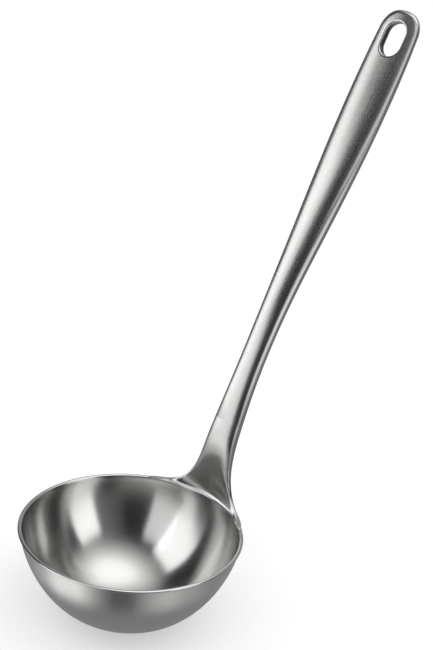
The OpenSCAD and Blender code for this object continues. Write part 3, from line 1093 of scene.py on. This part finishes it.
@dataclass
class Studio:
    """The pale floor, the white surroundings, the tent round the ladle and the lamps."""

    form: HandleForm
    floor_size: float = 12.0
    floor_tone: float = 0.76
    lift: float = 0.40
    surround: float = 0.75
    tent_r: float = 3.0
    mat_gap: float = 0.0003
    floor_gap: float = 0.0002

    @property
    def ground(self) -> float:
        """Height of the floor, in metres."""
        return (-self.form.origin.z - self.form.bowl.depth) * MM - self.floor_gap

    def floor(self) -> Object:
        """Lays the floor under the bowl."""
        half, height = self.floor_size / 2, self.ground
        data = bpy.data.meshes.new("floor")
        data.from_pydata([(x * half, y * half, height) for x, y in ((-1, -1), (1, -1), (1, 1), (-1, 1))],
                         [], [(0, 1, 2, 3)])
        mat = bpy.data.materials.new("Pale floor")
        graph = Graph(mat)
        graph.feed(graph.nodes["Principled BSDF"], {
            "Base Color": (self.floor_tone,) * 3 + (1.0,), "Roughness": 0.9, "Specular IOR Level": 0.0,
            "Emission Color": WHITE, "Emission Strength": self.seen(graph, self.lift)})
        data.materials.append(mat)
        floor = show("floor", data)
        floor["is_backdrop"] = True
        return floor

    @staticmethod
    def seen(graph: Graph, strength: float) -> Node:
        """Strength for rays from the camera and in reflections, and none for the rest."""
        path = graph.add("LightPath", {}).outputs
        both = graph.add("Math", {0: path["Is Camera Ray"], 1: path["Is Glossy Ray"]},
                         operation="ADD", use_clamp=True)
        return graph.add("Math", {0: both, 1: strength}, operation="MULTIPLY")

    def world(self) -> None:
        """White surroundings, a little weaker as light than they look."""
        world = bpy.data.worlds.new("Studio")
        bpy.context.scene.world = world
        graph = Graph(world)
        total = graph.add("Math", {0: self.seen(graph, 1.0 - self.surround), 1: self.surround})
        graph.feed(graph.nodes["Background"], {"Color": WHITE, "Strength": total})

    @staticmethod
    def tent_glow(turn: float, rise: float) -> float:
        """Brightness of the tent's cloth and flags in a direction, in degrees."""
        top = degrees(toward(turn, rise).angle(toward(70, 77)))
        glow = between(((0, 1.7), (16, 1.6), (25, 1.05), (34, 0.6), (44, 0.15), (52, 0),
                        (181, 0)), top)
        walls = ((-180, 0.07), (-165, 0.03), (-62, 0.02), (-40, 0.02), (-30, 0.1), (-5, 0.22),
                 (15, 0.15), (30, 0.03), (50, 0.08), (65, 0.4), (150, 0.4), (180, 0.07))
        if rise < 3.0 and -158.0 <= turn <= -108.0:
            return 1.3
        return max(glow, between(walls, turn))

    def tent(self) -> None:
        """Puts up the tent round the ladle."""
        rises = [-6, -3, 0, 2] + list(range(3, 91, 3))
        centre = Vector((-0.1, 0, self.ground))
        self.cloth("tent", [[centre + self.tent_r * toward(a, e) for a in TURNS] for e in rises],
                   [self.tent_glow(a, e) for e in rises for a in TURNS])

    @staticmethod
    def mat_glow(turn: float, out: float) -> float:
        """Brightness of the mat at a turn, in degrees, and a distance from the bowl's axis, in mm."""
        near = ((-180, 0.3), (-146, 0.32), (-122, 0.6), (-106, 1.2), (-86, 1.2), (-68, 0.4),
                (-56, 0.14), (-42, 0.14), (-27, 0.5), (-12, 0.7), (5, 0.5), (34, 0.32), (180, 0.3))
        far = ((-180, 0.06), (-165, 0.15), (-155, 0.7), (-145, 1.2), (-120, 1.2), (-100, 0.35),
               (-60, 0.3), (-15, 0.6), (0, 0.4), (20, 0.25), (45, 0.24), (62, 0.1), (72, 0.8),
               (100, 0.8), (140, 0.45), (165, 0.2), (180, 0.06))
        # Within about 40 mm of the axis the glow drops to 0.28: painted shade of the bowl's foot on the floor,
        # as the steel reflects it.
        close = blend(0.28, between(near, turn), ease((out - 40) / 18))
        slow = ease((-100.0 - turn) / 15) * ease((turn + 180) / 10)
        return blend(close, between(far, turn), ease((out - blend(90, 60, slow)) / blend(50, 480, slow)))

    def mat(self) -> None:
        """Lays the mat round the foot of the bowl: a glowing sheet, a painted reflection of the floor, with
        painted shade near the foot.
        """
        outs = (0.5, 20, 40, 44, 49, 54, 58, 80, 100, 120, 140, 165, 200, 250, 310,
                380, 460, 540, 2900)
        axis = Vector((-self.form.origin.x * MM, 0, self.ground + self.mat_gap))
        self.cloth("mat", [[axis + toward(a, 0) * r * MM for a in TURNS] for r in outs],
                   [self.mat_glow(a, r) for r in outs for a in TURNS])

    @staticmethod
    def cloth(name: str, rings: Sequence[Sequence[Vector]], glow: Sequence[float]) -> None:
        """Hangs a cloth that glows and shows in the steel alone.

        Args:
            name: Its name.
            rings: Its points, ring by ring.
            glow: Its brightness at each point.
        """
        n = len(TURNS)
        data = bpy.data.meshes.new(name)
        data.from_pydata([point for ring in rings for point in ring], [],
                         [(i * n + j, i * n + j + 1, i * n + n + j + 1, i * n + n + j)
                          for i in range(len(rings) - 1) for j in range(n - 1)])
        data.attributes.new("glow", "FLOAT", "POINT").data.foreach_set("value", glow)
        mat = bpy.data.materials.new("Cloth of the " + name)
        graph = Graph(mat)
        graph.nodes.clear()
        strength = graph.add("Attribute", {}, attribute_name="glow").outputs["Fac"]
        shine = graph.add("Emission", {"Strength": strength})
        graph.add("OutputMaterial", {"Surface": shine})
        mat.cycles.emission_sampling = "NONE"
        data.materials.append(mat)
        cloth = show(name, data)
        cloth.visible_camera = cloth.visible_diffuse = cloth.visible_shadow = False
        cloth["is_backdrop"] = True

    def build(self) -> None:
        """Lays the floor, sets the world and hangs the lamps."""
        floor = self.floor()
        self.world()
        self.tent()
        self.mat()
        bowl = [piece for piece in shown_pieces() if piece.name == "bowl_spun"]
        rest = [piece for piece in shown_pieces() if piece.name != "bowl_spun"]
        neck = [piece for piece in rest if piece.name.startswith("neck")]
        in_bowl, foot, low, mid, high = ((Vector((x, 0, z)) - self.form.origin) * MM for x, z in (
            (0, -15), (48, 8), (69, 55), (95, 100), (140, 190)))
        for lamp, target, lit in (
                (Lamp("Broad left", (-137, -98), (-5, 56), 1.6), in_bowl, bowl),
                (Lamp("Broad left, weak side", (-98, -68), (-5, 46), 1), in_bowl, bowl),
                (Lamp("Right strip", (-1, 28), (-5, 38), 1.55), in_bowl, bowl),
                (Lamp("Handle left, bright", (-158, -136), (-2, 31), 1.65), mid, rest),
                (Lamp("Handle left, soft", (-136, -126), (-2, 30), 1.55), mid, rest),
                (Lamp("Handle left, edge", (-126, -108), (-2, 17), 1.05), mid, rest),
                (Lamp("Handle right, low", (-52, -2), (-4, 16), 0.65, 0.4), low, rest),
                (Lamp("Handle right, middle", (-58, -14), (3, 24), 0.75, 0.4), mid, rest),
                (Lamp("Handle right, high", (-76, -37), (16, 57), 0.85, 0.4), high, rest),
                (Lamp("Over the eye", (-140, -98), (46, 62), 0.12, 0.4), mid, rest),
                (Lamp("Over the neck", (-146, -88), (27, 50), 1.3), foot, neck),
                (Lamp("Sky", (-40, 40), (50, 90), 0.5), in_bowl, [floor])):
            lamp.build(target, lit)


@dataclass
class PhotoCamera:
    """The camera, at the photograph's angle."""

    form: HandleForm
    azimuth: float = -45.65
    elevation: float = 31.27
    roll: float = 4.42
    distance: float = 800.0
    focal: float = 1952.6
    width: float = 433.0
    height: float = 650.0
    rim_x: float = 130.97
    rim_y: float = 529.50
    sensor: float = 24.0

    def build(self) -> None:
        """Sets the camera so that the middle of the rim lies where the photograph shows it."""
        a, e, t = (radians(d) for d in (self.azimuth, self.elevation, self.roll))
        right = Vector((cos(a), sin(a), 0.0))
        back = Vector((sin(a) * cos(e), -cos(a) * cos(e), sin(e)))
        up = back.cross(right)
        axes = Matrix((right, up, back))
        roll = Matrix(((cos(t), sin(t), 0), (-sin(t), cos(t), 0), (0, 0, 1)))
        aim = Vector(((self.rim_x - self.width / 2) / self.focal,
                      -(self.rim_y - self.height / 2) / self.focal, -1.0)).normalized()
        swing = Vector((0, 0, -1)).rotation_difference(aim).to_matrix()
        turn = (swing @ roll @ axes).transposed()
        data = bpy.data.cameras.new("Camera")
        data.sensor_fit, data.sensor_height = "VERTICAL", self.sensor
        data.lens = self.focal * self.sensor / self.height
        data.clip_start, data.clip_end = 0.01, 50.0
        camera = show("Camera", data)
        place = (back * self.distance - self.form.origin) * MM
        camera.matrix_world = Matrix.Translation(place) @ turn.to_4x4()
        bpy.context.scene.camera = camera


def main() -> None:
    """Builds the ladle piece by piece, then the studio and the camera."""
    logging.basicConfig(level=logging.INFO, format="%(name)s: %(message)s")
    bowl = BowlForm()
    form = HandleForm(bowl=bowl)
    handle = Handle(form)
    for part in (Bowl(bowl, form.origin), Neck(form), RootWeld(form), handle, Eye(handle), Studio(form),
                 PhotoCamera(form)):
        part.build()
    bpy.context.scene.view_settings.view_transform = "Standard"


if __name__ == "__main__":
    main()
